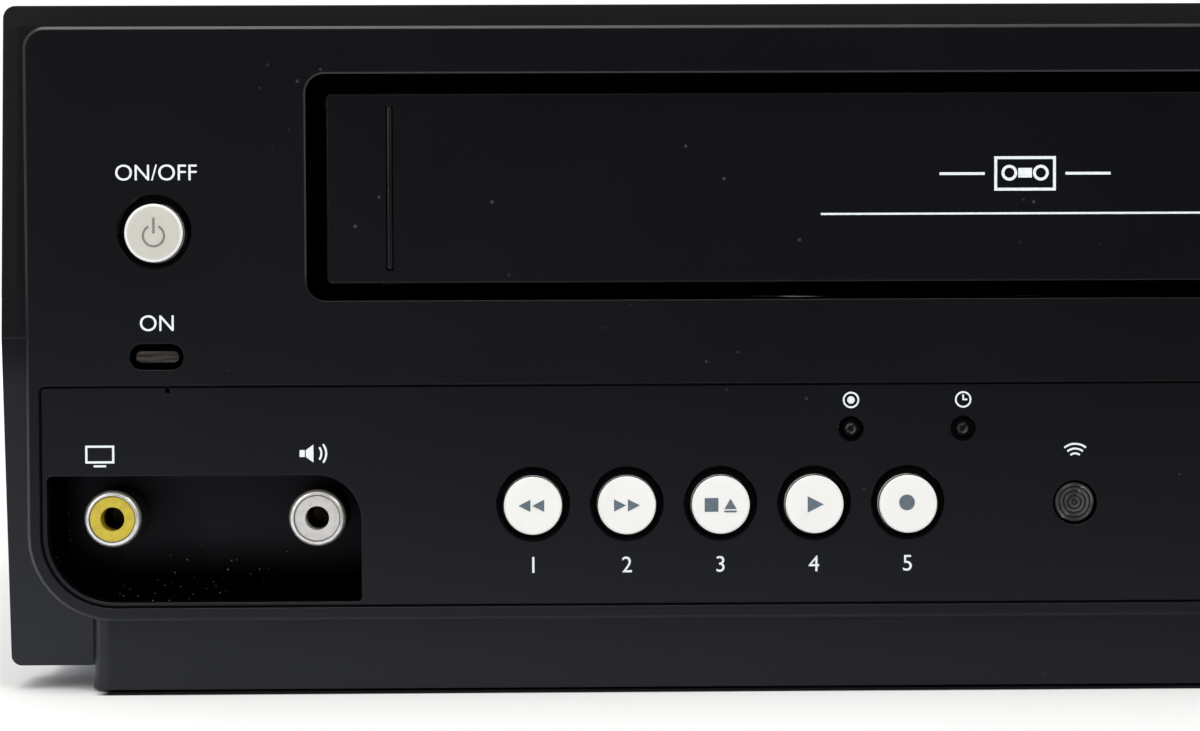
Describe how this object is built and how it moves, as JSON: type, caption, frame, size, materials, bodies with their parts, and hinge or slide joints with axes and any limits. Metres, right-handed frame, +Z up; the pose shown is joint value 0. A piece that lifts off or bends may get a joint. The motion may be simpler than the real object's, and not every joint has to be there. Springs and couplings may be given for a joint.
{
  "type": "dvd vcr combo player",
  "caption": "Low black home player with a flap-covered cassette slot, a sliding disc tray, push buttons, front phono jacks and a full tape deck and disc loader inside.",
  "frame": {"origin": "under the middle of the case, on the surface the feet stand on", "axes": "+X to the right seen from the front, the front faces -Y, +Z up"},
  "size_m": [0.437, 0.2336, 0.1001],
  "materials": {
    "moulded_black": "finely grained charcoal-black moulded plastic",
    "gloss_black": "smooth gloss black plastic",
    "nickel": "bright nickel plate",
    "yellow_plastic": "yellow insulator",
    "white_plastic": "white insulator",
    "red_plastic": "red insulator",
    "smoked_lens": "smoked clear plastic",
    "led_red": "tinted red plastic",
    "ir_plastic": "dark clear red-black plastic",
    "cap_silver": "pale silver-white cap",
    "circuit_board": "brown phenolic board with solder mask",
    "zinc_steel": "zinc-plated sheet steel",
    "cast_aluminium": "machined aluminium",
    "turned_steel": "ground steel",
    "motor_steel": "plated motor can",
    "roller_rubber": "ground black rubber",
    "white_acetal": "white acetal",
    "loader_black": "black moulded frame",
    "dark_moulding": "dark grey moulding",
    "painted_cover": "black textured paint on sheet steel",
    "foot_rubber": "black rubber",
    "screw_black": "black-oxide screws",
    "coil_tape": "wound core with yellow tape",
    "bare_aluminium": "extruded aluminium",
    "tinplate": "tinned screening case"
  },
  "bodies": {
    "case": {"front_panel": "moulded_black", "control_trim": "moulded_black", "jack_well": "gloss_black", "jack_barrels": "nickel", "yellow_inserts": "yellow_plastic", "white_inserts": "white_plastic", "red_inserts": "red_plastic", "power_lens": "smoked_lens", "indicator_leds": "led_red", "ir_lens": "ir_plastic", "key_board": "circuit_board", "deck_brackets": "zinc_steel", "deck_plate": "zinc_steel", "lower_drum": "cast_aluminium", "tape_heads": "turned_steel", "motors": "motor_steel", "loader_frame": "loader_black", "clamp_bridge": "zinc_steel", "chassis": "zinc_steel", "top_cover": "painted_cover", "rear_panel": "painted_cover", "feet": "foot_rubber", "screws": "screw_black", "cord_gland": "foot_rubber", "circuit_boards": "circuit_board", "transformer": "coil_tape", "heatsink": "bare_aluminium", "tuner": "tinplate", "rear_jacks": "gloss_black"},
    "btn_power": {"btn_power": "cap_silver"},
    "btn_rewind": {"btn_rewind": "cap_silver"},
    "btn_forward": {"btn_forward": "cap_silver"},
    "btn_stop": {"btn_stop": "cap_silver"},
    "btn_play": {"btn_play": "cap_silver"},
    "btn_record": {"btn_record": "cap_silver"},
    "btn_source": {"btn_source": "cap_silver"},
    "btn_down": {"btn_down": "cap_silver"},
    "btn_up": {"btn_up": "cap_silver"},
    "btn_tray": {"btn_tray": "cap_silver"},
    "btn_disc_stop": {"btn_disc_stop": "cap_silver"},
    "btn_disc_play": {"btn_disc_play": "cap_silver"},
    "cassette_door": {"cassette_door": "moulded_black"},
    "cassette_holder": {"cassette_holder": "zinc_steel"},
    "head_drum": {"head_drum": "cast_aluminium"},
    "capstan": {"capstan": "turned_steel"},
    "pinch_arm": {"pinch_arm": "zinc_steel"},
    "pinch_roller": {"pinch_roller": "roller_rubber"},
    "supply_reel": {"supply_reel": "white_acetal"},
    "takeup_reel": {"takeup_reel": "white_acetal"},
    "supply_guide": {"supply_guide": "turned_steel"},
    "takeup_guide": {"takeup_guide": "turned_steel"},
    "cam_gear": {"cam_gear": "white_acetal"},
    "tray": {"disc_tray": "dark_moulding", "tray_bezel": "moulded_black"},
    "tray_gear": {"tray_gear": "white_acetal"},
    "traverse": {"traverse": "loader_black", "traverse_metal": "turned_steel"},
    "turntable": {"turntable": "dark_moulding"},
    "laser_sled": {"laser_sled": "cast_aluminium"},
    "clamp_disc": {"clamp_disc": "white_acetal"}
  },
  "joints": [
    {"name": "btn_power_press", "type": "slide", "parent": "case", "child": "btn_power", "axis": [0, 1, 0], "range_m": [0, 0.001], "stiffness_N_per_m": 400},
    {"name": "btn_rewind_press", "type": "slide", "parent": "case", "child": "btn_rewind", "axis": [0, 1, 0], "range_m": [0, 0.001], "stiffness_N_per_m": 400},
    {"name": "btn_forward_press", "type": "slide", "parent": "case", "child": "btn_forward", "axis": [0, 1, 0], "range_m": [0, 0.001], "stiffness_N_per_m": 400},
    {"name": "btn_stop_press", "type": "slide", "parent": "case", "child": "btn_stop", "axis": [0, 1, 0], "range_m": [0, 0.001], "stiffness_N_per_m": 400},
    {"name": "btn_play_press", "type": "slide", "parent": "case", "child": "btn_play", "axis": [0, 1, 0], "range_m": [0, 0.001], "stiffness_N_per_m": 400},
    {"name": "btn_record_press", "type": "slide", "parent": "case", "child": "btn_record", "axis": [0, 1, 0], "range_m": [0, 0.001], "stiffness_N_per_m": 400},
    {"name": "btn_source_press", "type": "slide", "parent": "case", "child": "btn_source", "axis": [0, 1, 0], "range_m": [0, 0.001], "stiffness_N_per_m": 400},
    {"name": "btn_down_press", "type": "slide", "parent": "case", "child": "btn_down", "axis": [0, 1, 0], "range_m": [0, 0.001], "stiffness_N_per_m": 400},
    {"name": "btn_up_press", "type": "slide", "parent": "case", "child": "btn_up", "axis": [0, 1, 0], "range_m": [0, 0.001], "stiffness_N_per_m": 400},
    {"name": "btn_tray_press", "type": "slide", "parent": "case", "child": "btn_tray", "axis": [0, 1, 0], "range_m": [0, 0.001], "stiffness_N_per_m": 400},
    {"name": "btn_disc_stop_press", "type": "slide", "parent": "case", "child": "btn_disc_stop", "axis": [0, 1, 0], "range_m": [0, 0.001], "stiffness_N_per_m": 400},
    {"name": "btn_disc_play_press", "type": "slide", "parent": "case", "child": "btn_disc_play", "axis": [0, 1, 0], "range_m": [0, 0.001], "stiffness_N_per_m": 400},
    {"name": "door_swing", "type": "hinge", "parent": "case", "child": "cassette_door", "pos_m": [-0.0698, -0.112, 0.0858], "axis": [1, 0, 0], "range_deg": [0, 88], "stiffness_Nm_per_rad": 0.02},
    {"name": "holder_lower", "type": "slide", "parent": "case", "child": "cassette_holder", "axis": [0, 0, -1], "range_m": [0, 0.024]},
    {"name": "drum_spin", "type": "hinge", "parent": "case", "child": "head_drum", "pos_m": [-0.0698, 0.055, 0.0256], "axis": [0.104, 0, 0.9946], "continuous": true},
    {"name": "capstan_spin", "type": "hinge", "parent": "case", "child": "capstan", "pos_m": [-0.0118, 0.024, 0.02], "axis": [0, 0, 1], "continuous": true},
    {"name": "pinch_arm_swing", "type": "hinge", "parent": "case", "child": "pinch_arm", "pos_m": [0.0002, 0.037, 0.03], "axis": [0, 0, -1], "range_deg": [0, 30]},
    {"name": "pinch_roller_spin", "type": "hinge", "parent": "pinch_arm", "child": "pinch_roller", "pos_m": [0.0037, 0.017, 0.04], "axis": [0, 0, 1], "continuous": true},
    {"name": "supply_reel_spin", "type": "hinge", "parent": "case", "child": "supply_reel", "pos_m": [-0.1158, -0.05, 0.03], "axis": [0, 0, 1], "continuous": true},
    {"name": "takeup_reel_spin", "type": "hinge", "parent": "case", "child": "takeup_reel", "pos_m": [-0.0238, -0.05, 0.03], "axis": [0, 0, 1], "continuous": true},
    {"name": "supply_guide_load", "type": "slide", "parent": "case", "child": "supply_guide", "axis": [-0.1282, 0.9917, 0], "range_m": [0, 0.05848]},
    {"name": "takeup_guide_load", "type": "slide", "parent": "case", "child": "takeup_guide", "axis": [0.1282, 0.9917, 0], "range_m": [0, 0.05848]},
    {"name": "cam_turn", "type": "hinge", "parent": "case", "child": "cam_gear", "pos_m": [-0.1378, 0.062, 0.03], "axis": [0, 0, 1], "range_deg": [0, 300]},
    {"name": "tray_slide", "type": "slide", "parent": "case", "child": "tray", "axis": [0, -1, 0], "range_m": [0, 0.14]},
    {"name": "tray_gear_turn", "type": "hinge", "parent": "case", "child": "tray_gear", "pos_m": [0.0804, -0.086, 0.07], "axis": [0, 0, 1], "range_deg": [0, 803]},
    {"name": "traverse_lift", "type": "hinge", "parent": "case", "child": "traverse", "pos_m": [0.125, 0.054, 0.0646], "axis": [-1, 0, 0], "range_deg": [0, 3.3]},
    {"name": "turntable_spin", "type": "hinge", "parent": "traverse", "child": "turntable", "pos_m": [0.125, -0.036, 0.075], "axis": [0, 0, 1], "continuous": true},
    {"name": "sled_travel", "type": "slide", "parent": "traverse", "child": "laser_sled", "axis": [0, 1, 0], "range_m": [0, 0.034]},
    {"name": "clamp_spin", "type": "hinge", "parent": "case", "child": "clamp_disc", "pos_m": [0.125, -0.036, 0.09], "axis": [0, 0, 1], "continuous": true}
  ],
  "couplings": [
    {"joint": "takeup_guide_load", "follows": "supply_guide_load", "ratio": 1},
    {"joint": "tray_gear_turn", "follows": "tray_slide", "rad_per_m": 100}
  ]
}
